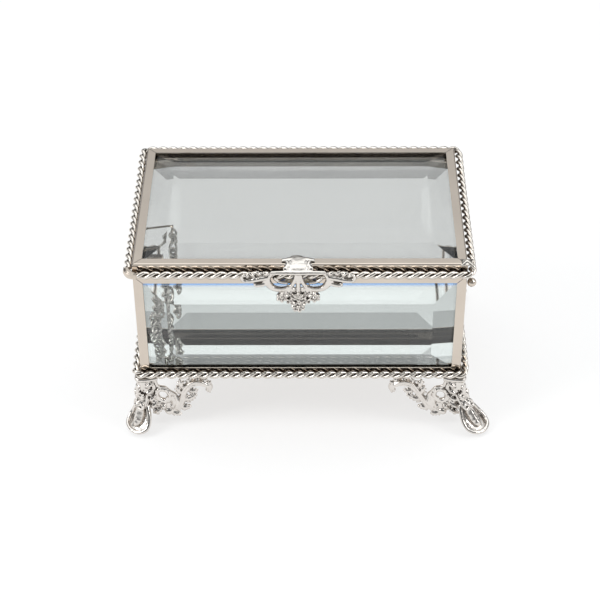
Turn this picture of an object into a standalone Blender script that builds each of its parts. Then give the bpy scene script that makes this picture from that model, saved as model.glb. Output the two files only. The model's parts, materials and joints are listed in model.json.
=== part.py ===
"""Vanity trinket box: a bevelled-glass casket in a nickel-plated came frame.

The walls and the lid are bevelled panes held in mitred U-section came, and a mirror
lies on a metal sheet between the walls.
Twisted-wire rope trims the lid and the base, four cast feet stand under the
corners, the lid turns on two wire-pin hinges, and a chain stops it at 98 degrees.

Metres, +Z up. The origin is on the ground under the middle of the box.
+X runs to the right along the front and +Y to the back.
"""

import math

import bmesh
import bpy
from mathutils import Matrix, Vector

MM = 0.001

# Driving dimensions, in millimetres
BOX_LENGTH = 142.0        # outside of the came, along X
BOX_DEPTH = 89.0          # outside of the came, along Y
FOOT_HEIGHT = 28.0
WALL_HEIGHT = 55.7
LID_THICK = 5.6
LID_GAP = 0.5             # air between the lid and the walls
GAP = 0.3                 # between pieces that touch or are soldered

CAME_WIDTH = 4.1          # how far a came covers its pane
CAME_SHEET = 0.5          # sheet that the came is folded from
CAME_ROUND = 0.8          # radius of the came's folded edges
WALL_THICK = 4.6

BEVEL_WIDTH = 13.0        # half-inch bevel, part of it inside the came
PANE_EDGE = 1.5           # thickness of a pane at its ground edge
WALL_PANE_RISE = 4.5      # how far a pane's flat middle stands above its ground edge
WALL_PANE_SINK = 0.85     # how far inside the middle of its came a pane sits
LID_PANE_RISE = 3.5
LID_PANE_SINK = 0.4
PANE_BITE = 3.3           # how far a pane reaches into its came
FLOOR_SHEET = 0.6         # the metal sheet under the mirror
MIRROR_THICK = 3.0

ROPE_RADIUS = 1.83        # outside of the two twisted wires
ROPE_CORNER = 3.2         # bend radius of the rope's centreline
LID_ROPE_DROP = 4.1       # from the lid's top to the rope's centre
BASE_ROPE_RISE = 1.9      # from the base's underside to the rope's centre
FERRULE_REACH = 4.6       # from the lid rope's sharp corner to where its wires end
FERRULE_TAPER = 0.8       # share of its radius that the ferrule narrows to at its mouths
BEAD_RADIUS = 2.0
BEAD_DROP = 3.4           # from the walls' rim to the bead's top

HINGE_X = 56.0            # middle of each hinge, left and right of the centre
KNUCKLE_LENGTH = 5.0
KNUCKLE_RADIUS = 1.5
KNUCKLE_BORE = 0.95
PIN_RADIUS = 0.6
PIN_HEAD = 1.1

FOOT_OUT = 1.6            # a foot's outer face stands this far outside the came
FOOT_PLATE = 2.6
TOE_RADIUS = 4.3
# Outwards from the box's corner along both sides, height above ground, share of the radius
TOE_ROUTE = ((2.2, 15.5, 0.72), (-0.6, 10.6, 0.82), (-3.0, 6.4, 0.95), (-5.2, 3.5, 0.95),
             (-6.6, 2.4, 0.78), (-7.4, 1.9, 0.42))

PULL_PLATE = 1.7
PULL_TOP = 0.6            # the pull's plate starts this far below the lid's top
LIP_THICK = 0.9
LIP_WIDTH = 12.4

LID_OPEN = 98.0           # degrees, where the chain is taut
CHAIN_Y_BODY = -27.0      # the chain's eye on the left wall
CHAIN_Y_LID = -14.0       # the chain's eye on the lid
CHAIN_X_BODY = -59.5
CHAIN_WIDE = 3.4
CHAIN_THICK = 2.0
CHAIN_BENDS = (27.0, 33.0, 30.0, 30.0, 33.0)   # turn before each slack link, hanging
CHAIN_CLEAR = 0.75        # from a bar's end to its pivot, so that bent neighbours clear
EYE_CLEAR = 2.9           # the same at an eye, so that the bar swings past the ring
EYE_RADIUS = 1.4
EYE_WIRE = 0.5
BODY_EYE_DROP = 3.4       # from the walls' rim to each eye's pivot
LID_EYE_DROP = 1.6

# Levels above the ground
Z_BASE = FOOT_HEIGHT
Z_RIM = Z_BASE + WALL_HEIGHT
Z_LID = Z_RIM + LID_GAP
Z_TOP = Z_LID + LID_THICK
HALF_X = BOX_LENGTH / 2
HALF_Y = BOX_DEPTH / 2
FOOT_TOP = Z_BASE - GAP
ROPE_OUT = GAP + ROPE_RADIUS        # rope's centre outside the came
CHAIN_X_LID = CHAIN_X_BODY + CHAIN_WIDE + GAP
HINGE_Y = HALF_Y + GAP + KNUCKLE_RADIUS
HINGE_Z = Z_TOP - LID_ROPE_DROP - ROPE_RADIUS - GAP - KNUCKLE_RADIUS + 0.1

X, Y, Z = Vector((1, 0, 0)), Vector((0, 1, 0)), Vector((0, 0, 1))


# ---------------------------------------------------------------- scene and tools

def start_scene():
    """Empties the scene and makes the box's collection."""
    for obj in list(bpy.data.objects):
        bpy.data.objects.remove(obj)
    box = bpy.data.collections.new("vanity_trinket_box")
    bpy.context.scene.collection.children.link(box)
    return box


def make_material(name, colour, roughness, metallic, alpha=1.0):
    material = bpy.data.materials.new(name)
    material.use_nodes = True
    shader = material.node_tree.nodes["Principled BSDF"]
    shader.inputs["Base Color"].default_value = (*colour, 1.0)
    shader.inputs["Roughness"].default_value = roughness
    shader.inputs["Metallic"].default_value = metallic
    shader.inputs["Alpha"].default_value = alpha
    return material


BOX = start_scene()
NICKEL = make_material("nickel_plate", (0.78, 0.73, 0.68), 0.16, 1.0)
CAST = make_material("cast_nickel", (0.80, 0.77, 0.74), 0.22, 1.0)
GLASS = make_material("bevelled_glass", (0.86, 0.93, 0.91), 0.02, 0.0, 0.35)
MIRROR = make_material("floor_mirror", (0.88, 0.90, 0.90), 0.03, 1.0)


def frame_matrix(x_axis, y_axis, z_axis, origin):
    """World matrix in metres for a shape drawn in millimetres on these axes."""
    turn = Matrix((x_axis, y_axis, z_axis)).transposed().to_4x4()
    return Matrix.Translation(Vector(origin) * MM) @ turn


def place(name, mesh, material, matrix=Matrix.Identity(4), smooth=30.0):
    """Adds a mesh drawn in millimetres as a named piece of the box."""
    mesh.transform(Matrix.Scale(MM, 4))
    mesh.name = name
    mesh.materials.clear()
    mesh.materials.append(material)
    if smooth:
        mesh.shade_smooth()
        mesh.set_sharp_from_angle(angle=math.radians(smooth))
    piece = bpy.data.objects.new(name, mesh)
    BOX.objects.link(piece)
    piece.matrix_world = matrix
    return piece


def mesh_of(obj):
    """The evaluated mesh of a helper object, welded, and the helper removed."""
    bpy.context.view_layer.update()
    graph = bpy.context.evaluated_depsgraph_get()
    mesh = bpy.data.meshes.new_from_object(obj.evaluated_get(graph))
    mesh.transform(obj.matrix_world)
    shape = bmesh.new()
    shape.from_mesh(mesh)
    bmesh.ops.remove_doubles(shape, verts=shape.verts, dist=1e-4)
    bmesh.ops.recalc_face_normals(shape, faces=shape.faces)
    shape.to_mesh(mesh)
    shape.free()
    bpy.data.objects.remove(obj)
    return mesh


def helper(data):
    obj = bpy.data.objects.new("helper", data)
    bpy.context.scene.collection.objects.link(obj)
    return obj


def outline_mesh(outlines, thickness):
    """A flat plate in XY from closed outlines, the later ones cut as holes."""
    curve = bpy.data.curves.new("outline", "CURVE")
    curve.dimensions = "2D"
    curve.fill_mode = "BOTH"
    curve.extrude = thickness / 2
    for outline in outlines:
        spline = curve.splines.new("POLY")
        spline.points.add(len(outline) - 1)
        for point, (u, v) in zip(spline.points, outline):
            point.co = (u, v, 0, 1)
        spline.use_cyclic_u = True
    return mesh_of(helper(curve))


def tube_mesh(points, radius, sides_level=3, radii=None, closed=False):
    """A round tube along points, with filled caps unless it is closed."""
    curve = bpy.data.curves.new("tube", "CURVE")
    curve.dimensions = "3D"
    curve.bevel_depth = radius
    curve.bevel_resolution = sides_level
    curve.use_fill_caps = not closed
    spline = curve.splines.new("POLY")
    spline.points.add(len(points) - 1)
    for index, (point, co) in enumerate(zip(spline.points, points)):
        point.co = (*co, 1)
        point.radius = radii[index] if radii else 1.0
    spline.use_cyclic_u = closed
    return mesh_of(helper(curve))


def cylinder_mesh(radius, length, sides=20):
    """A solid cylinder along X, centred on the origin."""
    shape = bmesh.new()
    bmesh.ops.create_cone(shape, cap_ends=True, segments=sides, radius1=radius,
                          radius2=radius, depth=length,
                          matrix=Matrix.Rotation(math.pi / 2, 4, "Y"))
    mesh = bpy.data.meshes.new("cylinder")
    shape.to_mesh(mesh)
    shape.free()
    return mesh


def box_mesh(size, centre=(0, 0, 0)):
    shape = bmesh.new()
    bmesh.ops.create_cube(shape, size=1.0)
    bmesh.ops.scale(shape, vec=size, verts=shape.verts)
    bmesh.ops.translate(shape, vec=centre, verts=shape.verts)
    mesh = bpy.data.meshes.new("box")
    shape.to_mesh(mesh)
    shape.free()
    return mesh


def combined(base, others, operation="UNION"):
    """Base joined with, or cut by, the other meshes."""
    body = helper(base)
    tools = []
    for other in others:
        tool = helper(other)
        tool.hide_render = True
        tool.display_type = "WIRE"
        tools.append(tool)
        change = body.modifiers.new("combine", "BOOLEAN")
        change.operation = operation
        change.solver = "EXACT"
        change.object = tool
    result = mesh_of(body)
    for tool in tools:
        bpy.data.objects.remove(tool)
    return result


def arc(centre, radius, start, end, steps):
    """Points on a circle from start to end, in degrees."""
    angles = [math.radians(start + (end - start) * i / steps) for i in range(steps + 1)]
    return [(centre[0] + radius * math.cos(a), centre[1] + radius * math.sin(a)) for a in angles]


def smooth_outline(points, steps=4):
    """A closed Catmull-Rom curve through the points."""
    count = len(points)
    made = []
    for i in range(count):
        a, b, c, d = (Vector(points[(i + k - 1) % count]) for k in range(4))
        for step in range(steps):
            t = step / steps
            made.append(0.5 * (2 * b + (c - a) * t + (2 * a - 5 * b + 4 * c - d) * t * t
                               + (3 * b - a - 3 * c + d) * t ** 3))
    return [(p.x, p.y) for p in made]


# ---------------------------------------------------------------- came and panes

def channel_outline(thickness):
    """The came's U section: x runs from the outer edge inwards, y through the thickness."""
    half = thickness / 2
    wall = CAME_SHEET
    outer = arc((CAME_ROUND, half - CAME_ROUND), CAME_ROUND, 90, 180, 4)
    outer += arc((CAME_ROUND, CAME_ROUND - half), CAME_ROUND, 180, 270, 4)
    inner = [(CAME_WIDTH, -half), (CAME_WIDTH, wall - half), (wall, wall - half),
             (wall, half - wall), (CAME_WIDTH, half - wall), (CAME_WIDTH, half)]
    return outer + inner


def came_strip(name, edge_centre, inward, normal, length, thickness):
    """One mitred length of came: its outer edge is centred on edge_centre."""
    shape = bmesh.new()
    shape.from_mesh(outline_mesh([channel_outline(thickness)], length))
    for side in (-1, 1):
        cut = bmesh.ops.bisect_plane(
            shape, geom=shape.verts[:] + shape.edges[:] + shape.faces[:],
            plane_co=(0, 0, side * (length - GAP) / 2),
            plane_no=(1, 0, side), clear_outer=True)
        rim = [g for g in cut["geom_cut"] if isinstance(g, bmesh.types.BMEdge)]
        bmesh.ops.holes_fill(shape, edges=rim, sides=0)
    bmesh.ops.recalc_face_normals(shape, faces=shape.faces)
    mesh = bpy.data.meshes.new(name)
    shape.to_mesh(mesh)
    shape.free()
    along = inward.cross(normal)
    return place(name, mesh, NICKEL, frame_matrix(inward, normal, along, edge_centre))


def came_frame(prefix, names, centre, across, up, normal, width, height, thickness):
    """Four mitred strips round a pane: bottom, top, and the two sides."""
    centre = Vector(centre)
    sides = ((names[0], -up, height, width), (names[1], up, height, width),
             (names[2], -across, width, height), (names[3], across, width, height))
    for name, outward, span, length in sides:
        came_strip(f"{prefix}_{name}", centre + outward * span / 2, -outward, normal,
                   length, thickness)


def bevelled_pane(name, centre, across, up, normal, width, height, rise, sink):
    """A pane whose outer face rises over a wide ground bevel to a flat middle."""
    mesh = box_mesh((width, height, PANE_EDGE))
    shape = bmesh.new()
    shape.from_mesh(mesh)
    outer = max(shape.faces, key=lambda face: face.calc_center_median().z)
    bmesh.ops.inset_region(shape, faces=[outer], thickness=BEVEL_WIDTH, use_even_offset=True)
    bmesh.ops.translate(shape, vec=(0, 0, rise), verts=outer.verts)
    shape.to_mesh(mesh)
    shape.free()
    seat = Vector(centre) - normal * sink
    return place(name, mesh, GLASS, frame_matrix(across, up, normal, seat), smooth=0)


def pane_size(frame_size):
    return frame_size - 2 * (CAME_WIDTH - PANE_BITE)


def inside(length):
    """What fits between two opposite walls of a box this long or deep."""
    return length - 2 * (WALL_THICK + GAP)


def make_walls():
    """Four walls, each a pane in its own came frame; the side walls stand between the others."""
    wall_centre = Z_BASE + WALL_HEIGHT / 2
    y_wall = HALF_Y - WALL_THICK / 2
    x_wall = HALF_X - WALL_THICK / 2
    side_length = inside(BOX_DEPTH)
    edges = ("bottom", "top")
    walls = (("front", (0, -y_wall, wall_centre), X, -Y, BOX_LENGTH),
             ("back", (0, y_wall, wall_centre), -X, Y, BOX_LENGTH),
             ("left", (-x_wall, 0, wall_centre), -Y, -X, side_length),
             ("right", (x_wall, 0, wall_centre), Y, X, side_length))
    side_names = {"front": ("left", "right"), "back": ("right", "left"),
                  "left": ("back", "front"), "right": ("front", "back")}
    for name, centre, across, normal, width in walls:
        came_frame(f"{name}_came", edges + side_names[name], centre, across, Z, normal,
                   width, WALL_HEIGHT, WALL_THICK)
        bevelled_pane(f"{name}_glass", centre, across, Z, normal,
                      pane_size(width), pane_size(WALL_HEIGHT), WALL_PANE_RISE, WALL_PANE_SINK)


def make_lid():
    centre = (0, 0, Z_LID + LID_THICK / 2)
    came_frame("lid_came", ("front", "back", "left", "right"), centre, X, Y, Z,
               BOX_LENGTH, BOX_DEPTH, LID_THICK)
    bevelled_pane("lid_glass", centre, X, Y, Z, pane_size(BOX_LENGTH), pane_size(BOX_DEPTH),
                  LID_PANE_RISE, LID_PANE_SINK)


def make_floor():
    """A metal sheet between the walls' feet, and the mirror that lies on it."""
    low = Z_BASE
    for name, thickness, material in (("base_plate", FLOOR_SHEET, NICKEL),
                                      ("base_mirror", MIRROR_THICK, MIRROR)):
        size = (inside(BOX_LENGTH), inside(BOX_DEPTH), thickness)
        place(name, box_mesh(size, (0, 0, low + thickness / 2)), material, smooth=0)
        low += thickness + GAP


# ---------------------------------------------------------------- rope trim

def rope_route(height, opened):
    """The rope's centreline round the box, with rounded corners.

    An opened rope leaves out the front left corner, where a ferrule joins its ends.
    """
    half_x = HALF_X + ROPE_OUT
    half_y = HALF_Y + ROPE_OUT
    corners = ((-1, -1, 180), (1, -1, 270), (1, 1, 0), (-1, 1, 90))
    route = []
    for sign_x, sign_y, start in corners:
        centre = (sign_x * (half_x - ROPE_CORNER), sign_y * (half_y - ROPE_CORNER))
        if opened and start == 180:
            route.append((-half_x + FERRULE_REACH, -half_y))
            continue
        route += arc(centre, ROPE_CORNER, start, start + 90, 6)
    if opened:
        route.append((-half_x, -half_y + FERRULE_REACH))
    return [(x, y, height) for x, y in route]


def make_ropes():
    lid_height = Z_TOP - LID_ROPE_DROP
    place("lid_rope", tube_mesh(rope_route(lid_height, True), ROPE_RADIUS), NICKEL)
    place("base_rope", tube_mesh(rope_route(Z_BASE + BASE_ROPE_RISE, False), ROPE_RADIUS, closed=True),
          NICKEL)


def make_ferrule():
    """A smooth sleeve round the lid's front left corner, over the rope's two ends."""
    half_x = HALF_X + ROPE_OUT
    half_y = HALF_Y + ROPE_OUT
    reach = FERRULE_REACH - GAP
    bend = arc((ROPE_CORNER - half_x, ROPE_CORNER - half_y), ROPE_CORNER, 180, 270, 6)
    points = [(-half_x, reach - half_y), *bend, (reach - half_x, -half_y)]
    radii = [FERRULE_TAPER] + [1.0] * len(bend) + [FERRULE_TAPER]
    height = Z_TOP - LID_ROPE_DROP
    place("lid_rope_ferrule", tube_mesh([(x, y, height) for x, y in points], ROPE_RADIUS, radii=radii),
          NICKEL)


def make_corner_bead():
    """A ball of plated solder on the right wall, just under the lid's front corner."""
    shape = bmesh.new()
    bmesh.ops.create_uvsphere(shape, u_segments=16, v_segments=10, radius=BEAD_RADIUS)
    mesh = bpy.data.meshes.new("bead")
    shape.to_mesh(mesh)
    shape.free()
    centre = (HALF_X + GAP + BEAD_RADIUS, -HALF_Y + BEAD_RADIUS + 0.4, Z_RIM - BEAD_RADIUS - BEAD_DROP)
    place("corner_bead", mesh, NICKEL, Matrix.Translation(Vector(centre) * MM))


# ---------------------------------------------------------------- feet

def wing_outlines():
    """The openwork wing: x from the corner along the side, y is the height above ground."""
    outside = smooth_outline([
        (0.0, 27.6), (6.6, 27.6), (6.9, 23.2), (9.9, 24.0), (12.2, 20.6), (14.3, 17.6),
        (16.6, 19.4), (16.0, 24.0), (19.6, 27.4), (25.6, 27.4), (30.6, 26.6), (32.4, 23.6),
        (29.8, 20.6), (27.6, 23.0), (23.4, 21.4), (22.0, 17.2), (18.8, 12.6), (14.6, 8.2),
        (9.6, 7.4), (5.0, 9.2), (0.0, 12.0)])
    outside = [(max(0.0, x), min(FOOT_TOP, y)) for x, y in outside]
    hole = smooth_outline([(7.6, 14.4), (11.2, 14.8), (11.4, 18.0), (9.2, 20.0), (7.4, 17.6)], 3)
    return [outside, hole]


def foot_mesh():
    """A foot drawn with the box's corner at the origin and its wings along +X and +Y."""
    across = outline_mesh(wing_outlines(), FOOT_PLATE)
    across.transform(frame_matrix(X, Z, -Y, (0, (FOOT_PLATE / 2 - FOOT_OUT) / MM, 0)))
    along = outline_mesh(wing_outlines(), FOOT_PLATE)
    along.transform(frame_matrix(Y, Z, X, ((FOOT_PLATE / 2 - FOOT_OUT) / MM, 0, 0)))
    column = box_mesh((4.6, 4.6, 15.0), (0.7, 0.7, FOOT_TOP - 7.5))
    route = [(out, out, height) for out, height, share in TOE_ROUTE]
    toe = tube_mesh(route, TOE_RADIUS, radii=[share for out, height, share in TOE_ROUTE])
    ground = box_mesh((60, 60, 20), (0, 0, -10))
    body = combined(across, [along, column, toe])
    return combined(body, [ground], "DIFFERENCE")


def make_feet():
    corners = (("front_left", -1, -1, 0), ("front_right", 1, -1, 90),
               ("back_right", 1, 1, 180), ("back_left", -1, 1, 270))
    for name, sign_x, sign_y, turn in corners:
        corner = Vector((sign_x * HALF_X, sign_y * HALF_Y, 0)) * MM
        place(f"foot_{name}", foot_mesh(), CAST,
              Matrix.Translation(corner) @ Matrix.Rotation(math.radians(turn), 4, "Z"))


# ---------------------------------------------------------------- lid pull

def make_pull():
    """The cast pull: a lip on the lid's front came, a neck over the rope, and a hanging plate."""
    half = [(0.0, 0.0), (6.0, 0.0), (10.8, 0.4), (12.6, -1.0), (15.8, 0.9), (20.4, -1.0), (22.7, -4.6),
            (21.0, -6.6), (18.0, -6.0), (13.8, -9.0), (10.0, -10.2), (8.6, -12.4), (8.0, -15.2),
            (5.2, -15.6), (3.4, -19.0), (0.0, -20.9)]
    mirrored = [(-x, y) for x, y in half[-2:0:-1]]
    eye = [(2.0, -2.6), (6.6, -2.0), (9.6, -3.6), (8.6, -6.6), (5.4, -7.8), (2.6, -5.8)]
    outlines = [smooth_outline(half + mirrored, 3), smooth_outline(eye, 3),
                smooth_outline([(-x, y) for x, y in reversed(eye)], 3)]
    plate = outline_mesh(outlines, PULL_PLATE)
    front = -HALF_Y - ROPE_OUT - ROPE_RADIUS - GAP - PULL_PLATE / 2
    plate.transform(frame_matrix(X, Z, -Y, (0, front / MM, (Z_TOP - PULL_TOP) / MM)))
    lip_top = Z_TOP + GAP + LIP_THICK
    side = [(-HALF_Y + CAME_WIDTH - 0.6, lip_top), (-HALF_Y + CAME_WIDTH - 0.6, Z_TOP + GAP),
            (-HALF_Y - GAP, Z_TOP + GAP), (front + 0.3, Z_TOP - 1.5), (front - 0.5, Z_TOP - 2.2),
            (front - 0.8, Z_TOP - 1.0), (-HALF_Y - 1.0, lip_top)]
    lip = outline_mesh([side], LIP_WIDTH)
    lip.transform(frame_matrix(Y, Z, X, (0, 0, 0)))
    place("lid_pull", combined(plate, [lip]), CAST)


# ---------------------------------------------------------------- hinges

def make_hinges():
    """Two three-knuckle hinges: the middle knuckle is soldered to the lid."""
    step = KNUCKLE_LENGTH + GAP
    for side, middle in (("left", -HINGE_X), ("right", HINGE_X)):
        knuckles = (("knuckle_a", -step), ("lid_knuckle", 0.0), ("knuckle_b", step))
        for name, offset in knuckles:
            bore = cylinder_mesh(KNUCKLE_BORE, KNUCKLE_LENGTH + 2)
            tube = combined(cylinder_mesh(KNUCKLE_RADIUS, KNUCKLE_LENGTH), [bore], "DIFFERENCE")
            place(f"hinge_{side}_{name}", tube, NICKEL,
                  Matrix.Translation(Vector((middle + offset, HINGE_Y, HINGE_Z)) * MM))
        span = 3 * KNUCKLE_LENGTH + 2 * GAP
        end = span / 2 + GAP
        pin = combined(cylinder_mesh(PIN_RADIUS, span + 2 * GAP + 0.8), [
            cylinder_mesh_at(PIN_HEAD, 0.7, -end - 0.35), cylinder_mesh_at(PIN_HEAD, 0.7, end + 0.35)])
        place(f"hinge_{side}_pin", pin, NICKEL,
              Matrix.Translation(Vector((middle, HINGE_Y, HINGE_Z)) * MM))


def cylinder_mesh_at(radius, length, x):
    mesh = cylinder_mesh(radius, length)
    mesh.transform(Matrix.Translation((x, 0, 0)))
    return mesh


# ---------------------------------------------------------------- lid chain

def chain_plan():
    """Where the chain hangs with the lid shut, and how long each stretch is.

    The two straight runs hang from their eyes, and the slack links between them
    make up the length that is taut when the lid stands open.
    """
    eye_body = Vector((CHAIN_Y_BODY, Z_RIM - BODY_EYE_DROP))
    eye_lid = Vector((CHAIN_Y_LID, Z_RIM - LID_EYE_DROP))
    pivot = Vector((HINGE_Y, HINGE_Z))
    arm = eye_lid - pivot
    open_angle = math.radians(LID_OPEN)
    opened = pivot + Vector((arm.x * math.cos(open_angle) + arm.y * math.sin(open_angle),
                             arm.y * math.cos(open_angle) - arm.x * math.sin(open_angle)))
    taut = (opened - eye_body).length
    direction = -90.0
    across = 0.0
    drop = 0.0
    for bend in CHAIN_BENDS:
        direction += bend
        across += math.cos(math.radians(direction))
        drop += math.sin(math.radians(direction))
    link = (eye_lid.x - eye_body.x) / across
    slack = link * len(CHAIN_BENDS)
    runs = taut - slack
    run_body = (runs + link * drop + eye_body.y - eye_lid.y) / 2
    return eye_body, eye_lid, link, run_body


def chain_bar(name, start, end, x_centre, start_clear):
    """A plain bar as wide and thick as the chain, between two pivots of the YZ plane."""
    run = (end - start).normalized()
    low = start + run * start_clear
    high = end - run * CHAIN_CLEAR
    length = (high - low).length
    middle = (low + high) / 2
    mesh = box_mesh((CHAIN_WIDE, CHAIN_THICK, length))
    along = Vector((0, run.x, run.y))
    place(name, mesh, NICKEL, frame_matrix(X, along.cross(X), along, (x_centre, middle.x, middle.y)),
          smooth=0)


def chain_eye(name, centre, x_centre, came_edge):
    """A wire eye in the YZ plane, with a short tail soldered to the came beside it."""
    ring = arc((centre.x, centre.y + EYE_RADIUS), EYE_RADIUS, 110, 430, 12)
    top = centre.y + 2 * EYE_RADIUS
    points = [(came_edge, centre.x, top), (x_centre - 0.6, centre.x, top)]
    points += [(x_centre, y, z) for y, z in ring]
    place(name, tube_mesh(points, EYE_WIRE, sides_level=1), NICKEL)


def make_chain():
    top_body, top_lid, link, run_body = chain_plan()
    joint = top_body - Vector((0, run_body))
    chain_bar("chain_body_run", top_body, joint, CHAIN_X_BODY, EYE_CLEAR)
    direction = -90.0
    for number, bend in enumerate(CHAIN_BENDS, 1):
        direction += bend
        turn = math.radians(direction)
        nearer = joint + Vector((math.cos(turn), math.sin(turn))) * link
        chain_bar(f"chain_link_{number}", joint, nearer, CHAIN_X_BODY, CHAIN_CLEAR)
        joint = nearer
    chain_bar("chain_lid_run", top_lid, joint, CHAIN_X_LID, EYE_CLEAR)
    chain_eye("chain_body_eye", top_body, CHAIN_X_BODY, -HALF_X + WALL_THICK + GAP)
    chain_eye("chain_lid_eye", top_lid, CHAIN_X_LID, -HALF_X + CAME_WIDTH + GAP)


make_walls()
make_lid()
make_floor()
make_ropes()
make_ferrule()
make_corner_bead()
make_feet()
make_pull()
make_hinges()
make_chain()
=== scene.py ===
"""Looks of the vanity trinket box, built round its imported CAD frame.

The frame's came, panes, hinges and pins keep their shape and get better materials.
The ropes, feet, pull and chain are replaced with detailed pieces in the same places, and
crossed wire ends are added on one corner of the lid.
Lengths are in metres, with MM to turn millimetres into them.
"""

import json
import math

import bmesh
import bpy
from mathutils import Matrix, Vector


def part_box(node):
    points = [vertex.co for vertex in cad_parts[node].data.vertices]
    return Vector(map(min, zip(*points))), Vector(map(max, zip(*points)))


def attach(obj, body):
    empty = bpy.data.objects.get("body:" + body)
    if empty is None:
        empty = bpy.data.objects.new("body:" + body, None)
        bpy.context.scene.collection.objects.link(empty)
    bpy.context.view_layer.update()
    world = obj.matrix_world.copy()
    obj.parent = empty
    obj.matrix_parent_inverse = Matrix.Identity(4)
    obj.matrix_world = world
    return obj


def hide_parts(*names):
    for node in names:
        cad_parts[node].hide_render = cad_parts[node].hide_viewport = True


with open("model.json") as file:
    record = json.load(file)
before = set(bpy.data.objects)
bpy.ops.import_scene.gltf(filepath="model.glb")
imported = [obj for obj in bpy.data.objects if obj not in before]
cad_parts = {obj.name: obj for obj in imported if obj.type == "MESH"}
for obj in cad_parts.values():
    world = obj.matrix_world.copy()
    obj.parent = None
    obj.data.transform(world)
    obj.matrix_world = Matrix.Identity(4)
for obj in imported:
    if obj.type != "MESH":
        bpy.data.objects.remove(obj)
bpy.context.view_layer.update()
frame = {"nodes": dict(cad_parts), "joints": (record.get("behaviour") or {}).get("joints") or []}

MM = 0.001
X, Y, Z = Vector((1, 0, 0)), Vector((0, 1, 0)), Vector((0, 0, 1))
NODES = frame["nodes"]


# ---------------------------------------------------------------- places read from the frame

def joint(name):
    return next(j for j in frame["joints"] if j["name"] == name)


LID_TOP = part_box("lid_came_front")[1].z


# ---------------------------------------------------------------- camera

LENS = 99.9
CAMERA_PLACE = Vector((5.9, -601.5, 426.1)) * MM + Z * LID_TOP
CAMERA_YAW, CAMERA_PITCH, CAMERA_ROLL = -0.60, 38.64, -0.43


def make_camera():
    yaw, pitch, roll = (math.radians(a) for a in (CAMERA_YAW, CAMERA_PITCH, CAMERA_ROLL))
    forward = Vector((math.sin(yaw) * math.cos(pitch), math.cos(yaw) * math.cos(pitch),
                      -math.sin(pitch)))
    level = Vector((math.cos(yaw), -math.sin(yaw), 0))
    upright = level.cross(forward)
    right = level * math.cos(roll) + upright * math.sin(roll)
    up = upright * math.cos(roll) - level * math.sin(roll)
    data = bpy.data.cameras.new("camera")
    data.lens = LENS
    camera = bpy.data.objects.new("camera", data)
    bpy.context.scene.collection.objects.link(camera)
    turn = Matrix((right, up, -forward)).transposed().to_4x4()
    camera.matrix_world = Matrix.Translation(CAMERA_PLACE) @ turn
    bpy.context.scene.camera = camera


make_camera()


# ---------------------------------------------------------------- materials

class Shader:
    """A Principled material and short ways to add nodes to it."""

    def __init__(self, name):
        self.material = bpy.data.materials.new(name)
        self.material.use_nodes = True
        self.tree = self.material.node_tree
        self.main = self.tree.nodes["Principled BSDF"]

    def node(self, kind, **inputs):
        made = self.tree.nodes.new(kind)
        for key, value in inputs.items():
            made.inputs[key.replace("_", " ")].default_value = value
        return made

    def link(self, source, target):
        self.tree.links.new(source, target)

    def place(self, scale=(1, 1, 1)):
        coordinates = self.node("ShaderNodeTexCoord")
        mapping = self.node("ShaderNodeMapping", Scale=scale)
        self.link(coordinates.outputs["Object"], mapping.inputs["Vector"])
        return mapping.outputs["Vector"]

    def noise(self, scale, detail=3.0, stretch=(1, 1, 1)):
        made = self.node("ShaderNodeTexNoise", Scale=scale, Detail=detail)
        self.link(self.place(stretch), made.inputs["Vector"])
        return made.outputs["Fac"]

    def ramp(self, source, low, high, start=0.3, end=0.7):
        made = self.node("ShaderNodeValToRGB")
        made.color_ramp.elements[0].position = start
        made.color_ramp.elements[1].position = end
        made.color_ramp.elements[0].color = (*low, 1)
        made.color_ramp.elements[1].color = (*high, 1)
        self.link(source, made.inputs["Fac"])
        return made.outputs["Color"]

    def between(self, source, low, high):
        made = self.node("ShaderNodeMapRange", To_Min=low, To_Max=high)
        self.link(source, made.inputs["Value"])
        return made.outputs["Result"]

    def mix(self, factor, low, high):
        made = self.tree.nodes.new("ShaderNodeMix")
        made.data_type = "RGBA"
        self.link(factor, made.inputs["Factor"])
        for source, socket in ((low, made.inputs[6]), (high, made.inputs[7])):
            if isinstance(source, tuple):
                socket.default_value = (*source, 1)
            else:
                self.link(source, socket)
        return made.outputs[2]

    def bump(self, *layers):
        """Layers are (height, strength, distance in metres), the first one innermost."""
        normal = None
        for height, strength, distance in layers:
            made = self.node("ShaderNodeBump", Strength=strength, Distance=distance)
            self.link(height, made.inputs["Height"])
            if normal:
                self.link(normal, made.inputs["Normal"])
            normal = made.outputs["Normal"]
        self.link(normal, self.main.inputs["Normal"])

    def crevice(self, reach):
        """1 in the open and towards 0 in a crevice narrower than reach, in metres: the mask for painted
        shade.
        """
        made = self.node("ShaderNodeAmbientOcclusion", Distance=reach)
        made.samples = 8
        return self.between(made.outputs["AO"], 0.0, 1.0)


NICKEL_LIGHT = (0.65, 0.575, 0.50)
NICKEL_DARK = (0.605, 0.535, 0.465)
# Near-black painted shade, laid into the colour of castings, ropes and chain where ambient occlusion finds
# a crevice
CREVICE_SHADE = (0.07, 0.055, 0.042)


def polished_nickel():
    """Rolled, plated came: nearly a mirror, with slow waves and faint drawing lines."""
    shader = Shader("polished_nickel")
    shader.main.inputs["Metallic"].default_value = 1.0
    cloud = shader.noise(55.0, 4.0)
    shader.link(shader.ramp(cloud, NICKEL_DARK, NICKEL_LIGHT), shader.main.inputs["Base Color"])
    lines = shader.noise(900.0, 2.0, (1.0, 0.15, 1.0))
    shader.link(shader.between(lines, 0.07, 0.16), shader.main.inputs["Roughness"])
    shader.bump((shader.noise(120.0, 1.0), 0.05, 0.2 * MM), (lines, 0.03, 0.02 * MM))
    return shader.material


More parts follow.
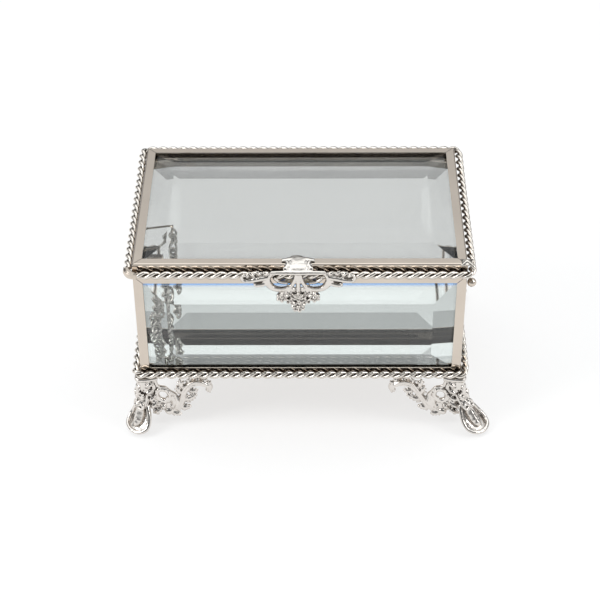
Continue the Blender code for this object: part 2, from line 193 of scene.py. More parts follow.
def cast_nickel(name, light, reach, roughness, grain):
    """Plated casting or wire: bright on the heights, with painted shade that turns its colour near-black in
    the crevices.
    """
    shader = Shader(name)
    shader.main.inputs["Metallic"].default_value = 1.0
    cloud = shader.noise(300.0, 4.0)
    plate = shader.ramp(cloud, tuple(0.92 * c for c in light), light)
    # Painted shade: the colour goes to near-black where ambient occlusion finds a crevice
    unshaded_share = shader.ramp(shader.crevice(reach), (0, 0, 0), (1, 1, 1), 0.25, 0.85)
    shader.link(shader.mix(unshaded_share, CREVICE_SHADE, plate), shader.main.inputs["Base Color"])
    shader.link(shader.between(shader.noise(1500.0), *roughness), shader.main.inputs["Roughness"])
    shader.bump((shader.noise(520.0, 2.0), grain, 0.5 * MM),
                (shader.noise(1600.0, 3.0), grain, 0.1 * MM))
    return shader.material


# Glass body: a real faint grey-green tint, made darker as painted shade for the shadowed floor seen through
# the panes
GLASS_DARK = (0.85, 0.86, 0.853)
GLASS_LIGHT = (0.87, 0.88, 0.873)
LID_SHADE_SHARE = 0.84          # painted shade: the lid's pane is darker than the walls' same glass, for the dimmer light seen through it
# Painted blue fringe: light that the front pane's top bevel splits, painted into the glass's colour
PAINTED_SPLIT_BLUE = (0.03, 0.24, 0.90)
RIM_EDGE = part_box("front_came_top")[0].z
PAINTED_SPLIT_LEVELS = (RIM_EDGE - 2.4 * MM, RIM_EDGE - 0.9 * MM)


def clear_glass(name, share=1.0, painted_split=None):
    """Polished crown glass with a faint grey-green body, partly painted shade, scaled down by share as more
    painted shade.

    The last argument is two heights above ground: from the first to the second the glass's colour turns
    blue, a painted fringe that stands in for light which a bevel has split.
    """
    shader = Shader(name)
    inputs = shader.main.inputs
    inputs["Transmission Weight"].default_value = 1.0
    inputs["IOR"].default_value = 1.5
    inputs["Roughness"].default_value = 0.0
    cloud = shader.noise(12.0, 1.0)
    dark, light = (tuple(share * c for c in tint) for tint in (GLASS_DARK, GLASS_LIGHT))
    body = shader.ramp(cloud, dark, light)
    if painted_split:
        position = shader.node("ShaderNodeNewGeometry")
        level = shader.node("ShaderNodeSeparateXYZ")
        shader.link(position.outputs["Position"], level.inputs["Vector"])
        nearness = shader.node("ShaderNodeMapRange", From_Min=painted_split[0], From_Max=painted_split[1])
        shader.link(level.outputs["Z"], nearness.inputs["Value"])
        # Painted blue fringe of split light near the pane's top
        body = shader.mix(nearness.outputs["Result"], body, PAINTED_SPLIT_BLUE)
    shader.link(body, inputs["Base Color"])
    return shader.material


MIRROR_DARK = (0.86, 0.89, 0.88)
MIRROR_LIGHT = (0.89, 0.915, 0.905)


def silvered_mirror():
    shader = Shader("silvered_mirror")
    shader.main.inputs["Metallic"].default_value = 1.0
    cloud = shader.noise(30.0, 3.0)
    shader.link(shader.ramp(cloud, MIRROR_DARK, MIRROR_LIGHT), shader.main.inputs["Base Color"])
    shader.link(shader.between(shader.noise(600.0), 0.0, 0.02), shader.main.inputs["Roughness"])
    return shader.material


FLOOR_GLOW = 0.66
FLOOR_DARK = (0.33, 0.33, 0.33)
FLOOR_LIGHT = (0.35, 0.35, 0.35)


def pale_floor():
    """A white sweep that glows a little, so that its shadows stay faint."""
    shader = Shader("pale_floor")
    cloud = shader.noise(3.0, 2.0)
    shader.link(shader.ramp(cloud, FLOOR_DARK, FLOOR_LIGHT), shader.main.inputs["Base Color"])
    shader.link(shader.between(cloud, 0.75, 0.85), shader.main.inputs["Roughness"])
    shader.main.inputs["Specular IOR Level"].default_value = 0.1
    shader.main.inputs["Emission Color"].default_value = (1.0, 1.0, 1.0, 1.0)
    shader.main.inputs["Emission Strength"].default_value = FLOOR_GLOW
    return shader.material


NICKEL = polished_nickel()
WIRE = cast_nickel("rope_wire", (0.72, 0.675, 0.62), 1.9 * MM, (0.06, 0.14), 0.05)
FOOT = cast_nickel("foot_nickel", (0.76, 0.72, 0.68), 1.3 * MM, (0.10, 0.22), 0.30)
CAST = cast_nickel("cast_nickel", (0.74, 0.70, 0.655), 2.2 * MM, (0.08, 0.18), 0.35)
LINK = cast_nickel("chain_wire", (0.70, 0.68, 0.64), 0.9 * MM, (0.08, 0.18), 0.05)
GLASS = clear_glass("clear_glass")
FRONT_GLASS = clear_glass("front_clear_glass", painted_split=PAINTED_SPLIT_LEVELS)
# The lid's pane, darker than the walls' as painted shade
SHADED_LID_GLASS = clear_glass("lid_glass_painted_shade", share=LID_SHADE_SHARE)
MIRROR = silvered_mirror()


# ---------------------------------------------------------------- mesh tools

def add_piece(name, mesh, material, body, nodes=()):
    """Adds a mesh in metres as a piece that rides on a body and replaces CAD nodes."""
    mesh.name = name
    mesh.materials.clear()
    mesh.materials.append(material)
    piece = bpy.data.objects.new(name, mesh)
    bpy.context.scene.collection.objects.link(piece)
    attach(piece, body)
    if nodes:
        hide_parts(*nodes)


def to_mesh(shape, smooth=True):
    bmesh.ops.recalc_face_normals(shape, faces=shape.faces)
    mesh = bpy.data.meshes.new("piece")
    shape.to_mesh(mesh)
    shape.free()
    if smooth:
        mesh.shade_smooth()
    return mesh


def sweep(shape, points, radii, sides, closed=False, flat=None):
    """Sweeps a round section along points into shape, without twist and with flat ends.

    flat presses the section, along the direction nearest Z, to that share of its width.
    """
    count = len(points)
    tangents = []
    for i in range(count):
        after = points[(i + 1) % count] if closed or i < count - 1 else points[i]
        before = points[i - 1] if closed or i > 0 else points[i]
        tangents.append((after - before).normalized())
    normal = tangents[0].orthogonal().normalized()
    if flat:
        normal = (Z - tangents[0] * tangents[0].z).normalized()
    rings = []
    for i, (point, tangent) in enumerate(zip(points, tangents)):
        normal = (normal - tangent * normal.dot(tangent)).normalized()
        side = tangent.cross(normal)
        ring = []
        for k in range(sides):
            turn = 2 * math.pi * k / sides
            offset = normal * (math.cos(turn) * (flat or 1.0)) + side * math.sin(turn)
            ring.append(shape.verts.new(point + offset * radii[i]))
        rings.append(ring)
    pairs = list(zip(rings, rings[1:])) + ([(rings[-1], rings[0])] if closed else [])
    for first, second in pairs:
        for k in range(sides):
            shape.faces.new((first[k], first[(k + 1) % sides],
                             second[(k + 1) % sides], second[k]))
    if not closed:
        shape.faces.new(rings[0][::-1])
        shape.faces.new(rings[-1])


def smooth_path(points, steps):
    """Catmull-Rom points through an open list of vectors."""
    padded = [points[0] * 2 - points[1], *points, points[-1] * 2 - points[-2]]
    made = []
    for a, b, c, d in zip(padded, padded[1:], padded[2:], padded[3:]):
        for step in range(steps):
            t = step / steps
            made.append(0.5 * (2 * b + (c - a) * t + (2 * a - 5 * b + 4 * c - d) * t * t
                               + (3 * b - a - 3 * c + d) * t ** 3))
    return [*made, points[-1].copy()]


def blend_values(values, count):
    """Spreads a few values evenly over count places, joined by straight lines."""
    made = []
    for i in range(count):
        place = i / (count - 1) * (len(values) - 1)
        low = min(int(place), len(values) - 2)
        made.append(values[low] + (values[low + 1] - values[low]) * (place - low))
    return made


# ---------------------------------------------------------------- twisted ropes

ROPE_PITCH = 9.4 * MM     # one full turn of the two wires
ROPE_CORNER = 3.2 * MM
ROPE_RADIUS = 1.83 * MM
FERRULE_REACH = 4.6 * MM  # from the lid rope's sharp corner to where its wires end
BACK_RISE = 1.3 * MM      # how much higher the lid's rope is soldered at the back
RISE_FROM, RISE_OVER = 0.5, 0.4   # where that rise starts and how long it is, of half the depth
WIRE_SHARE = 0.97         # a wire's radius, of what would make the two wires touch
WIRE_SIDES = 12
RINGS_PER_TURN = 20


def rope_line(half_x, half_y, height, rise, first, last):
    """Points close together on the rope's centreline, from one distance along it to another.

    The line climbs by rise over the last part of the sides, towards the back.
    """
    straight_x = half_x - ROPE_CORNER
    straight_y = half_y - ROPE_CORNER
    bend = ROPE_CORNER * math.pi / 2
    legs = ((2 * straight_x, X, -Y), (2 * straight_y, Y, X),
            (2 * straight_x, -X, Y), (2 * straight_y, -Y, -X))
    lap = sum(leg[0] for leg in legs) + 4 * bend
    count = round((last - first) / ROPE_PITCH * RINGS_PER_TURN)
    line = []
    for i in range(count + 1):
        along = (first + (last - first) * i / count) % lap
        start = Vector((-straight_x, -half_y, height))
        for length, direction, outward in legs:
            if along <= length:
                line.append((start + direction * along, outward))
                break
            along -= length
            start = start + direction * length
            pivot = start - outward * ROPE_CORNER
            if along <= bend:
                turn = along / ROPE_CORNER
                spoke = outward * math.cos(turn) + direction * math.sin(turn)
                line.append((pivot + spoke * ROPE_CORNER, spoke))
                break
            along -= bend
            start = pivot + direction * ROPE_CORNER
    for point, _ in line:
        share = min(max((point.y / half_y - RISE_FROM) / RISE_OVER, 0.0), 1.0)
        point.z += rise * share * share * (3 - 2 * share)
    return line, lap


def twisted_rope(line, wire, turns, closed):
    """Two wires wound left-handed about a line of (point, outward) pairs."""
    shape = bmesh.new()
    count = len(line) - (1 if closed else 0)
    for strand in (0.0, math.pi):
        points = []
        for i in range(count):
            point, outward = line[i]
            turn = strand + 2 * math.pi * turns * i / (len(line) - 1)
            points.append(point + (outward * math.cos(turn) + Z * math.sin(turn)) * wire)
        sweep(shape, points, [wire * WIRE_SHARE] * count, WIRE_SIDES, closed)
    return to_mesh(shape)


def make_ropes():
    """The lid's rope, open at its ferrule's corner, and the closed rope round the base."""
    for name, body, node, opened, rise in (("rope_trim_lid", "lid", "lid_rope", True, BACK_RISE),
                                           ("rope_trim_base", "box", "base_rope", False, 0.0)):
        low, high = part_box(node)
        half_x, half_y = high.x - ROPE_RADIUS, high.y - ROPE_RADIUS
        height = (low.z + high.z) / 2
        gap = FERRULE_REACH - ROPE_CORNER if opened else 0.0
        lap = rope_line(half_x, half_y, height, rise, 0.0, ROPE_PITCH)[1]
        last = lap - (2 * gap + math.pi / 2 * ROPE_CORNER) if opened else lap
        line = rope_line(half_x, half_y, height, rise, gap, gap + last)[0]
        turns = round(last / ROPE_PITCH)
        mesh = twisted_rope(line, ROPE_RADIUS / 2, turns, not opened)
        add_piece(name, mesh, WIRE, body, [node])


# ---------------------------------------------------------------- castings

VOXEL = 0.24 * MM         # how fine a casting's skin is
CROSSING_X = 4.4 * MM     # the crossed ends' place, from the rope's front right corner
CROSSING_Y = 5.0 * MM


class Casting:
    """Overlapping tubes, leaves and beads that are melted into one closed skin.

    place turns a point of the pattern, in millimetres, into metres of the box.
    """

    def __init__(self, place):
        self.shape = bmesh.new()
        self.place = place

    def rod(self, points, radii, flat=None, steps=4, sides=12):
        """A tapering rod on a smooth line through the points, round or pressed flat."""
        line = smooth_path([Vector(p) for p in points], steps)
        widths = blend_values(radii, len(line))
        placed = [self.place(p) for p in line]
        sweep(self.shape, placed, [w * MM for w in widths], sides, flat=flat)

    def bead(self, centre, radius, stretch=(1, 1, 1)):
        """A round or stretched bead, its axes along the pattern's."""
        made = bmesh.ops.create_icosphere(self.shape, subdivisions=2, radius=radius)
        for vert in made["verts"]:
            grown = Vector(c * s for c, s in zip(vert.co, stretch))
            vert.co = self.place(Vector(centre) + grown)

    def flower(self, centre, radius, petals):
        """A thin disc with a ring of round petals and a bead in the middle."""
        u, v, w = centre
        self.bead((u, v, w), radius, (1.0, 1.0, 0.45))
        for i in range(petals):
            angle = 2 * math.pi * (i + 0.5) / petals
            self.bead((u + 0.72 * radius * math.cos(angle), v + 0.72 * radius * math.sin(angle),
                       w + 0.42 * radius), 0.34 * radius, (1.0, 1.0, 1.2))
        self.bead((u, v, w + 0.55 * radius), 0.32 * radius)

    def leaf(self, base, tip, width, lift, lobes):
        """An acanthus leaf: a raised midrib, and pairs of blunt lobes that lean to its tip."""
        base, tip = Vector(base), Vector(tip)
        along = tip - base
        length = along.length
        forward = along.normalized()
        out = Vector((0, 0, 1))
        side = forward.cross(out).normalized()
        crest = [base, base + along * 0.5 + out * lift, tip + out * lift * 0.3]
        self.rod(crest, (width * 0.34, width * 0.42, width * 0.16))
        for i in range(lobes):
            share = (i + 0.4) / lobes
            reach = width * (0.95 - 0.55 * share)
            root = base + along * share * 0.8 + out * lift * 0.4
            for sign in (-1, 1):
                end = root + side * sign * reach + forward * length * 0.20
                self.rod([root, (root + end) / 2 + out * lift * 0.4, end],
                         (width * 0.22, width * 0.24, width * 0.12), steps=3, sides=8)

    def melted(self, floor=None):
        """The pattern remeshed into one skin and softened, with nothing below the floor."""
        bmesh.ops.recalc_face_normals(self.shape, faces=self.shape.faces)
        mesh = bpy.data.meshes.new("casting")
        self.shape.to_mesh(mesh)
        self.shape.free()
        helper = bpy.data.objects.new("helper", mesh)
        bpy.context.scene.collection.objects.link(helper)
        remesh = helper.modifiers.new("skin", "REMESH")
        remesh.mode = "VOXEL"
        remesh.voxel_size = VOXEL
        soften = helper.modifiers.new("soften", "SMOOTH")
        soften.factor = 0.5
        soften.iterations = 1
        bpy.context.view_layer.update()
        graph = bpy.context.evaluated_depsgraph_get()
        made = bpy.data.meshes.new_from_object(helper.evaluated_get(graph))
        bpy.data.objects.remove(helper)
        if floor is not None:
            for vert in made.vertices:
                vert.co.z = max(vert.co.z, floor)
        made.shade_smooth()
        return made


def make_crossed_ends():
    """Wire ends that cross over the lid rope's front right corner, in a drop of solder."""
    low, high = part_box("lid_rope")
    corner = Vector((high.x - CROSSING_X, low.y + CROSSING_Y, LID_TOP)) / MM
    cast = Casting(lambda p: (p + corner) * MM)
    cast.bead((0, 0, 0.1), 1.0, (2.4, 2.4, 0.7))
    for across in (-1, 1):
        cast.rod([(-2.4, across * 2.0, -0.2), (0, 0, 0.7), (2.4, -across * 2.0, -0.4),
                  (3.4, -across * 2.6, -1.6)], (0.6, 0.75, 0.75, 0.6))
    add_piece("rope_crossed_ends", cast.melted(), WIRE, "lid")


# ---------------------------------------------------------------- feet

CORNER = Vector((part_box("front_came_left")[0].x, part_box("front_came_left")[0].y, 0))


def wing_pattern(cast):
    """One openwork wing: along the side, height above ground, distance outside the came."""
    stem = [(10.5, 7.2, 0.2), (13.6, 9.2, 0.5), (15.9, 12.6, 0.7), (17.6, 16.4, 0.8), (19.3, 20.4, 0.8),
            (21.6, 23.4, 0.7), (24.8, 24.7, 0.6), (28.0, 24.0, 0.5), (30.2, 21.9, 0.4), (29.9, 20.0, 0.4),
            (28.8, 19.3, 0.5)]
    cast.rod(stem, (1.5, 1.7, 1.7, 1.6, 1.6, 1.7, 1.8, 1.8, 1.7, 1.4, 1.0))
    for shift in (-0.75, 0.75):
        ridge = [(u - shift * 0.5, h + shift, d + 1.4) for u, h, d in stem[1:-1]]
        cast.rod(ridge, (0.5, 0.6, 0.6, 0.6, 0.6, 0.6, 0.6, 0.6, 0.5))
    # The sheet of leaves between the column and the ring, and under the ring
    cast.bead((3.2, 20.6, 0.1), 1.0, (3.4, 6.6, 0.9))
    cast.bead((4.0, 12.6, 0.5), 1.0, (3.6, 5.2, 1.2))
    cast.bead((9.6, 9.6, 0.4), 1.0, (4.2, 3.4, 1.0))
    cast.bead((13.6, 12.4, 0.3), 1.0, (2.2, 5.0, 0.9))
    # Leaves between the arch and the rope, and the fan beside the open triangle
    for base, tip, width in (((17.4, 17.6, 0.6), (15.8, 22.6, 1.2), 2.6),
                             ((18.4, 20.8, 0.5), (17.2, 26.4, 0.8), 3.0),
                             ((20.6, 23.8, 0.3), (21.6, 27.0, 0.7), 1.8),
                             ((24.4, 25.0, 0.3), (25.8, 27.2, 0.6), 1.7),
                             ((27.8, 24.8, 0.2), (29.6, 26.9, 0.6), 1.8),
                             ((29.2, 23.6, 0.2), (31.3, 25.2, 0.5), 1.6)):
        cast.leaf(base, tip, width, 0.6, 2)
    # Lobes that curl off the outer side of the stem
    for base, tip, width in (((17.2, 14.0, 0.4), (23.4, 17.2, 0.9), 3.1),
                             ((15.0, 10.2, 0.4), (19.4, 10.8, 1.2), 3.1),
                             ((10.2, 7.4, 0.6), (15.0, 6.4, 1.4), 2.7),
                             ((20.4, 19.6, 0.4), (25.4, 20.2, 0.8), 2.4)):
        cast.leaf(base, tip, width, 0.9, 3)
    cast.bead((23.4, 17.1, 1.0), 0.9)
    cast.bead((19.2, 10.6, 1.3), 1.0)
    # The smooth leaf between the ring and the stem
    cast.rod([(11.4, 7.6, 0.3), (13.9, 10.6, 1.0), (14.8, 14.0, 0.9), (14.2, 17.4, 0.3)],
             (1.2, 1.7, 1.3, 0.6))
    cast.rod([(12.0, 9.4, 0.4), (12.8, 12.6, 0.7), (12.9, 15.4, 0.6), (12.2, 18.2, 0.3)],
             (1.2, 1.3, 0.9, 0.5))
    # The beaded ring and its bosses
    centre, wide, tall = Vector((8.9, 16.7, 0.4)), 3.0, 3.5
    turns = [math.radians(30 * i) for i in range(13)]
    ring = [centre + Vector((wide * math.cos(a), tall * math.sin(a), 0)) for a in turns]
    cast.rod(ring, (1.3, 1.3), steps=3)
    for a in turns[1:]:
        cast.bead(centre + Vector((wide * 1.12 * math.cos(a), tall * 1.12 * math.sin(a), 1.1)), 0.42)
    cast.rod([(8.2, 12.6, 0.6), (9.8, 14.0, 0.9), (10.3, 15.8, 0.8)], (1.0, 0.9, 0.5))
    cast.bead((9.3, 7.4, 0.9), 2.0, (1, 1, 0.9))
    cast.bead((7.6, 10.6, 1.2), 1.4)
    cast.bead((11.4, 10.4, 0.9), 1.0)
    # Tendrils from the column's top, edging the open triangle
    cast.rod([(3.2, 27.2, 0.4), (6.0, 25.4, 0.6), (6.9, 22.6, 0.6), (8.6, 21.4, 0.5), (10.6, 21.0, 0.4),
              (12.4, 18.8, 0.3), (14.0, 17.2, 0.3)], (1.2, 0.9, 0.8, 0.8, 0.7, 0.7, 0.8))
    for u, h, width in ((5.6, 25.2, 2.4), (5.0, 21.0, 2.4), (5.4, 17.0, 2.2), (5.2, 13.0, 2.2),
                        (6.4, 9.6, 2.2)):
        cast.leaf((u - 4.2, h - 3.2, 1.0), (u, h, 1.5), width, 1.0, 2)
    for u, h in ((3.4, 25.2), (2.6, 21.6), (5.6, 17.2), (3.4, 16.4), (6.4, 13.2), (4.0, 13.4), (6.0, 8.8)):
        cast.bead((u, h, 1.5), 0.75)


def column_pattern(cast):
    """The corner itself: across the diagonal, height above ground, distance out along it."""
    cast.rod([(0, 27.0, -1.6), (0, 22.6, -0.8), (0, 18.0, -0.8), (0, 13.6, 0.6), (0, 10.6, 2.6)],
             (3.2, 2.9, 2.7, 2.9, 2.6))
    for sign in (-1, 1):
        cast.rod([(sign * 3.6, 26.6, -2.0), (sign * 2.6, 21.0, -0.4), (sign * 2.4, 16.0, 0.6),
                  (sign * 2.0, 12.4, 2.8)], (0.9, 0.8, 0.8, 0.9))
        cast.leaf((sign * 0.8, 14.2, 2.6), (sign * 2.9, 19.6, 1.6), 1.9, 0.6, 3)
        cast.rod([(sign * 0.5, 15.4, 3.2), (sign * 2.6, 13.6, 3.6), (sign * 2.2, 11.6, 4.6),
                  (sign * 0.6, 12.0, 4.9)], (0.7, 0.75, 0.7, 0.5))
    cast.leaf((0, 15.6, 2.2), (0, 24.4, 1.6), 2.2, 0.8, 4)
    cast.bead((0, 25.4, 1.2), 1.2)
    cast.bead((0, 13.4, 4.2), 1.3)
    for turn in range(6):
        angle = math.radians(60 * turn)
        cast.bead((1.5 * math.cos(angle), 13.4 + 1.5 * math.sin(angle), 4.1), 0.55)


def toe_pattern(cast):
    """The spoon toe: across the diagonal, height above ground, distance out along it."""
    cast.rod([(0, 11.4, 0.6), (0, 7.6, 2.4), (0, 4.6, 4.6), (0, 2.6, 7.0), (0, 2.0, 9.0), (0, 1.8, 10.4)],
             (3.2, 4.8, 5.6, 5.4, 4.2, 2.2), flat=0.26, sides=20)
    half = [(2.6, 12.4, 1.6), (4.3, 9.6, 3.0), (5.6, 6.4, 4.8), (6.0, 4.0, 7.2), (4.9, 2.8, 9.6),
            (2.6, 2.2, 11.0)]
    rim = half + [(0, 2.0, 11.4)] + [(-u, h, d) for u, h, d in reversed(half)]
    cast.rod(rim, (0.8, 0.9, 0.95, 0.95, 0.9, 0.9, 0.9, 0.9, 0.9, 0.95, 0.95, 0.9, 0.8))
    cast.rod([(0, 11.4, 3.0), (0, 8.0, 4.4), (0, 5.2, 6.2), (0, 3.8, 8.0), (0, 3.1, 9.2)],
             (1.9, 2.5, 2.6, 2.0, 1.0))
    # The sole under the spoon, down to the ground
    cast.rod([(0, 4.0, 3.6), (0, 1.4, 5.6), (0, 0.8, 8.0), (0, 0.9, 10.0)], (3.0, 4.2, 4.0, 2.2),
             flat=0.45, sides=16)


TOE_LEAN = 3.6 * MM       # the front feet are soldered on with their toes leaning right
TOE_LEVEL = 20 * MM       # and the lean starts at this height
STRAP_LEVEL = 26.5        # height of the strap round a foot's corner, in millimetres


def make_feet():
    """One casting, its pattern symmetric about the diagonal, turned to all four corners."""
    def on_front(p):
        return Vector((p.x, -p.z, p.y)) * MM

    def on_side(p):
        return Vector((-p.z, p.x, p.y)) * MM

    def on_corner(p):
        across = Vector((1, -1, 0)) * (p.x * math.sqrt(0.5))
        outwards = Vector((-1, -1, 0)) * (p.z * math.sqrt(0.5))
        return (across + outwards + Z * p.y) * MM

    cast = Casting(on_front)
    wing_pattern(cast)
    cast.place = on_side
    wing_pattern(cast)
    cast.place = on_corner
    column_pattern(cast)
    toe_pattern(cast)
    # The smooth strap over the corner, just under the rope
    strap = [(7.4, 0.6), (3.2, 1.7), (-0.4, 1.9), (-1.5, 1.5)]
    line = [Vector((u, -d, 0)) for u, d in strap] + [Vector((-d, u, 0)) for u, d in reversed(strap)]
    cast.place = lambda p: (p + Z * STRAP_LEVEL) * MM
    cast.rod(line, (0.9, 1.1), steps=3)
    mesh = cast.melted(floor=0.0)
    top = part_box("foot_front_left")[1].z
    for vert in mesh.vertices:
        vert.co.z = min(vert.co.z, top)
    corners = (("front_left", -1, -1, 0), ("front_right", 1, -1, 90),
               ("back_right", 1, 1, 180), ("back_left", -1, 1, 270))
    for name, sign_x, sign_y, turn in corners:
        copy = mesh.copy()
        shift = Vector((abs(CORNER.x) * sign_x, abs(CORNER.y) * sign_y, 0))
        copy.transform(Matrix.Translation(shift) @ Matrix.Rotation(math.radians(turn), 4, "Z"))
        if sign_y < 0:
            for vert in copy.vertices:
                vert.co.x += TOE_LEAN * min(max((TOE_LEVEL - vert.co.z) / TOE_LEVEL, 0.0), 1.0)
        add_piece(f"acanthus_foot_{name}", copy, FOOT, "box", [f"foot_{name}"])


# ---------------------------------------------------------------- pull

PULL_SHIFT = 0.6 * MM     # the pull sits this far left of the middle
PULL_FACE = 1.7 * MM      # from the CAD pull's front back to where its depths count from
PULL_CLEAR = 0.05 * MM    # between the lip and the came under it
PULL_CROWN = 0.4 * MM     # how far the lip's crown may stand above the CAD pull
CAME_MARGIN = 0.2 * MM    # how far in front of the came the lip is still kept that high


def pull_pattern(cast):
    """Half of the pull: across from its middle, height from the lid's top, distance forward."""
    # Bar over the two rings, and the ring itself: straight at the top and round below
    cast.rod([(0, -0.9, 0.6), (6, -0.8, 0.6), (11.6, -0.9, 0.5)], (1.0, 1.0, 0.8))
    cast.rod([(0.8, -1.6, 0.1), (1.3, -4.4, 0.2), (2.9, -7.8, 0.3), (6.4, -9.6, 0.4), (10.2, -9.0, 0.4),
              (12.6, -6.4, 0.4), (12.9, -3.6, 0.3), (11.6, -1.4, 0.3)],
             (0.8, 0.75, 0.95, 1.15, 1.35, 1.6, 1.5, 1.1))
    cast.rod([(3.2, -7.6, 1.0), (6.4, -8.9, 1.3), (10.2, -8.2, 1.4), (12.0, -5.6, 1.3)],
             (0.3, 0.45, 0.5, 0.35))
    # Inner curl of the ring, seen through its opening
    cast.rod([(4.4, -7.2, -0.8), (8.0, -6.6, -0.9), (10.4, -4.4, -0.9)], (0.7, 0.8, 0.7))
    # Wing: a thin lobed plate with scrolls and leaves over it
    cast.bead((15.4, -3.6, 0.0), 1.0, (3.8, 2.9, 0.7))
    cast.bead((19.6, -3.0, 0.0), 1.0, (3.2, 1.9, 0.7))
    cast.bead((16.2, -6.4, 0.1), 1.0, (2.6, 1.3, 0.7))
    cast.rod([(12.8, -5.8, 0.7), (15.6, -6.7, 0.9), (17.9, -7.0, 0.9), (18.1, -5.8, 0.8)],
             (1.1, 1.1, 0.9, 0.6))
    cast.rod([(12.8, -3.0, 0.8), (16.0, -3.4, 1.2), (19.4, -4.4, 1.1), (22.6, -4.8, 0.8), (23.8, -3.2, 0.6),
              (22.9, -1.8, 0.6)], (1.2, 1.1, 1.0, 0.9, 0.8, 0.6))
    for base, tip, width in (((13.2, -1.8, 0.6), (14.6, 0.3, 0.8), 1.5),
                             ((15.6, -1.8, 0.6), (17.6, 0.6, 0.8), 1.6),
                             ((18.2, -2.2, 0.6), (20.8, 0.1, 0.8), 1.6),
                             ((20.4, -2.8, 0.6), (23.0, -1.2, 0.7), 1.3)):
        cast.leaf(base, tip, width, 0.7, 2)
    cast.bead((14.4, -4.8, 1.0), 0.7)
    cast.bead((18.6, -3.0, 1.1), 0.65)
    # Flower drop: clusters of petals, one at the side and smaller ones towards the middle
    cast.rod([(2.4, -8.8, 0.5), (4.6, -10.6, 0.5), (6.4, -12.2, 0.4)], (0.9, 1.0, 1.0))
    cast.flower((6.9, -13.3, 0.3), 2.5, 6)
    cast.flower((3.4, -11.8, 0.5), 1.9, 5)
    cast.flower((3.3, -15.4, 0.4), 1.9, 5)
    cast.flower((1.9, -9.3, 0.8), 1.2, 5)
    # Neck over the rope: leafy sides
    cast.rod([(4.4, -0.6, 0.3), (4.9, 0.3, -1.4), (4.3, 0.7, -3.4), (5.0, 0.9, -5.2)],
             (0.8, 1.0, 0.9, 0.8))
    cast.rod([(3.0, -0.4, 0.5), (3.3, 0.7, -1.6), (2.9, 1.0, -3.4), (3.4, 1.0, -5.0)],
             (0.5, 0.6, 0.5, 0.5))
    cast.bead((5.6, 0.3, -0.9), 0.9)
    cast.bead((5.4, 0.6, -3.0), 0.7)


def make_pull():
    """The pull: rings and wings on the hanging plate, a neck over the rope, a crowned lip."""
    low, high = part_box("lid_pull")
    came_low, came_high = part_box("lid_came_front")
    face = low.y + PULL_FACE

    cast = Casting(None)
    for mirror in (-1, 1):
        def placed(p, mirror=mirror):
            return Vector((mirror * p.x * MM - PULL_SHIFT, face - p.z * MM, came_high.z + p.y * MM))
        cast.place = placed
        pull_pattern(cast)
    # Middle of the drop, the column between the rings, the neck's tongue and the lip
    cast.rod([(0, -1.2, 0.3), (0, -5.0, 0.4), (0, -9.0, 0.5), (0, -14.0, 0.2)], (0.9, 0.75, 1.1, 1.6))
    cast.flower((0, -12.6, 0.9), 2.4, 6)
    cast.flower((0, -17.9, 0.4), 3.0, 7)
    cast.rod([(0, -0.6, 0.1), (0, 0.4, -1.2), (0, 0.75, -3.4), (0, 0.8, -6.0)], (3.6, 3.6, 3.4, 4.4),
             flat=0.22, sides=16)
    cast.rod([(-7.0, 0.7, -6.3), (-3.4, 0.95, -6.6), (0, 1.0, -6.8), (3.4, 0.95, -6.6), (7.0, 0.7, -6.3)],
             (0.8, 1.3, 1.5, 1.3, 0.8), flat=0.42, sides=16)
    cast.bead((-0.6, 0.95, -8.2), 1.0, (2.9, 0.45, 1.3))
    mesh = cast.melted()
    for vert in mesh.vertices:
        on_came = vert.co.y > came_low.y - CAME_MARGIN
        floor = came_high.z + PULL_CLEAR if on_came else low.z
        vert.co.z = min(max(vert.co.z, floor), high.z + PULL_CROWN)
    add_piece("lid_pull_casting", mesh, CAST, "lid", ["lid_pull"])


# ---------------------------------------------------------------- chain

LINK_WIRE = 0.55 * MM
LINK_LONG = 1.95 * MM     # half length of a link, over its wire's centreline
LINK_WIDE = 1.75 * MM     # and its half width
LINK_PITCH = 2.4 * MM
LINK_TWIST = math.radians(38)
LINK_POINTS = 16
SLACK_LINKS = 5
BAR_CLEAR = 0.75 * MM     # from a CAD bar's end to its pivot


def curb_link(shape, centre, along, across, side):
    """An oval link that is twisted, so that it lies flat against its neighbours."""
    through = along.cross(across).normalized()
    points = []
    for i in range(LINK_POINTS):
        turn = 2 * math.pi * i / LINK_POINTS
        wide = LINK_WIDE * math.sin(turn)
        twist = LINK_TWIST * math.cos(turn) + side * LINK_TWIST
        points.append(centre + along * LINK_LONG * math.cos(turn)
                      + (across * math.cos(twist) + through * math.sin(twist)) * wide)
    sweep(shape, points, [LINK_WIRE] * LINK_POINTS, 8, closed=True)


def chain_run(body, start, end):
    """Curb chain from one pivot to the next, in place of the bar that has its body's name."""
    along = (end - start).normalized()
    count = max(2, round((end - start).length / LINK_PITCH))
    shape = bmesh.new()
    for i in range(count):
        centre = start + (end - start) * ((i + 0.5) / count)
        curb_link(shape, centre, along, X, 1 if i % 2 else -1)
    add_piece(f"curb_{body}", to_mesh(shape), LINK, body, [body])


def make_chain():
    """Every stretch of the chain, from pivot to pivot."""
    bends = [f"chain_bend_{i}" for i in range(1, SLACK_LINKS + 1)]
    links = [f"chain_link_{i}" for i in range(1, SLACK_LINKS + 1)]
    pivots = [Vector(joint(name)["pos_m"]) for name in ("chain_body_swing", *bends)]
    top = Vector(joint("chain_lid_swing")["pos_m"])
    low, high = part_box("chain_lid_run")
    meeting = Vector((pivots[-1].x, (low.y + high.y) / 2, low.z - BAR_CLEAR))
    for body, start, end in zip(("chain_body_run", *links), pivots, (*pivots[1:], meeting)):
        chain_run(body, start, end)
    chain_run("chain_lid_run", top, Vector((top.x, meeting.y, meeting.z)))


# ---------------------------------------------------------------- stage and light

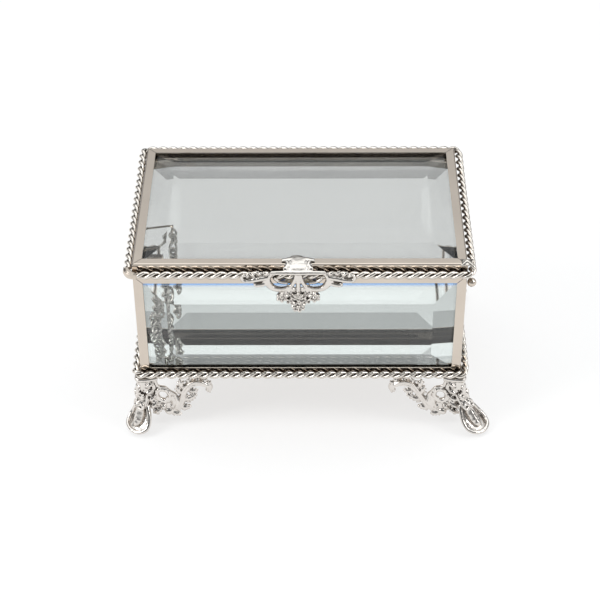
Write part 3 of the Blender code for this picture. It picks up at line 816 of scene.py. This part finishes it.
FLOOR_REACH = 30.0        # metres from the middle of the floor to its edge


def make_stage():
    shape = bmesh.new()
    bmesh.ops.create_grid(shape, x_segments=1, y_segments=1, size=FLOOR_REACH)
    floor = bpy.data.objects.new("floor", to_mesh(shape, False))
    floor.data.materials.append(pale_floor())
    bpy.context.scene.collection.objects.link(floor)


# Brightness by height of the direction looked in, towards the back and towards the front
SKY_BACK = ((0.0, 1.0), (0.025, 0.9), (0.06, 0.12), (0.34, 0.14), (0.48, 0.62), (0.61, 0.84),
            (0.72, 1.50), (1.0, 1.70))
SKY_FRONT = ((0.0, 1.0), (0.06, 0.9), (0.14, 0.45), (0.25, 0.35), (0.55, 0.10), (0.80, 0.20),
             (0.92, 1.0), (1.0, 1.25))
SKY_TURNS = (-0.35, 0.25)   # how far back a direction points where the one becomes the other
SKY_TINT = (0.98, 1.0, 1.01)


def make_world():
    """A soft studio sky, bright above and at the horizon, with darker bands between."""
    world = bpy.data.worlds.new("studio")
    bpy.context.scene.world = world
    world.use_nodes = True
    nodes, links = world.node_tree.nodes, world.node_tree.links
    background = nodes["Background"]
    coordinates = nodes.new("ShaderNodeTexCoord")
    split = nodes.new("ShaderNodeSeparateXYZ")
    links.new(coordinates.outputs["Generated"], split.inputs["Vector"])
    ramps = []
    for stops in (SKY_FRONT, SKY_BACK):
        ramp = nodes.new("ShaderNodeValToRGB")
        elements = ramp.color_ramp.elements
        while len(elements) < len(stops):
            elements.new(0.5)
        for element, (height, level) in zip(elements, stops):
            element.position = height
            element.color = (*(level * tint for tint in SKY_TINT), 1)
        links.new(split.outputs["Z"], ramp.inputs["Fac"])
        ramps.append(ramp)
    back = nodes.new("ShaderNodeMapRange")
    back.interpolation_type = "SMOOTHSTEP"
    back.inputs["From Min"].default_value = SKY_TURNS[0]
    back.inputs["From Max"].default_value = SKY_TURNS[1]
    links.new(split.outputs["Y"], back.inputs["Value"])
    mix = nodes.new("ShaderNodeMix")
    mix.data_type = "RGBA"
    links.new(back.outputs["Result"], mix.inputs["Factor"])
    links.new(ramps[0].outputs["Color"], mix.inputs[6])
    links.new(ramps[1].outputs["Color"], mix.inputs[7])
    links.new(mix.outputs[2], background.inputs["Color"])


SOFTBOX_AIM = Vector((0, 0, 0.05))


def softbox(name, place, size, power):
    """A rectangular lamp, size metres wide and high and power watts, that faces the box."""
    data = bpy.data.lights.new(name, "AREA")
    data.shape = "RECTANGLE"
    data.size, data.size_y = size
    data.energy = power
    light = bpy.data.objects.new(name, data)
    bpy.context.scene.collection.objects.link(light)
    facing = (SOFTBOX_AIM - Vector(place)).to_track_quat("-Z", "Y").to_matrix().to_4x4()
    light.matrix_world = Matrix.Translation(place) @ facing


def make_lights():
    softbox("softbox_left", (-0.9, -0.35, 0.75), (0.5, 0.7), 6.0)
    softbox("softbox_right", (0.95, -0.25, 0.65), (0.4, 0.7), 4.0)


# ---------------------------------------------------------------- CAD nodes

def dress_nodes():
    """Gives every CAD node its finished material."""
    for name, node in NODES.items():
        if name == "front_glass":
            material = FRONT_GLASS
        elif name == "lid_glass":
            material = SHADED_LID_GLASS
        elif name.endswith("_glass"):
            material = GLASS
        elif name == "base_mirror":
            material = MIRROR
        elif name.startswith("foot_"):
            material = FOOT
        elif name == "lid_pull":
            material = CAST
        else:
            material = NICKEL
        for slot in node.material_slots:
            slot.material = material


make_stage()
make_world()
make_lights()
dress_nodes()
make_ropes()
make_crossed_ends()
make_feet()
make_pull()
make_chain()

bpy.context.scene.view_settings.view_transform = "Standard"
